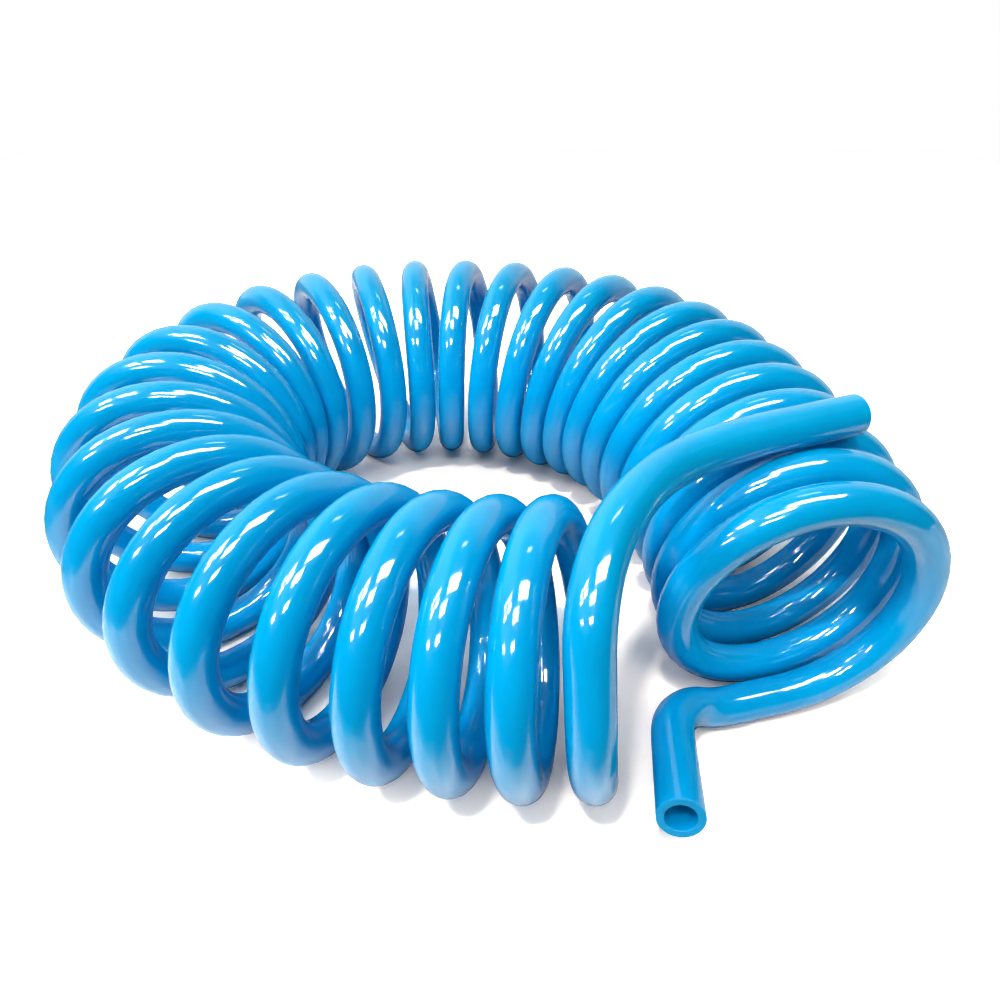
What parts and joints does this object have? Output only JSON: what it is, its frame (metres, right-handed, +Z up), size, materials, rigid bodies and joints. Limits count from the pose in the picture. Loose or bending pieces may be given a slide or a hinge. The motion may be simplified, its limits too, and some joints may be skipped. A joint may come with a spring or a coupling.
{
  "type": "coiled air hose",
  "caption": "Self-coiling plastic air hose, its coil bent round into an open ring, with two straight cut ends that take push-in or barbed fittings.",
  "frame": {"origin": "middle of the object's box in X and Y, at the table it lies on", "axes": "+Z up from the table; +Y is the way the picture looks, from the ring's mouth side to its far side, and +X is to the right"},
  "size_m": [0.2933, 0.2837, 0.0948],
  "materials": {
    "hose": "glossy, smooth, slightly translucent blue polyurethane"
  },
  "bodies": {
    "root": {"coil": "hose", "upper_tail": "hose", "lower_tail": "hose", "upper_end": "hose", "lower_end": "hose"}
  },
  "joints": []
}
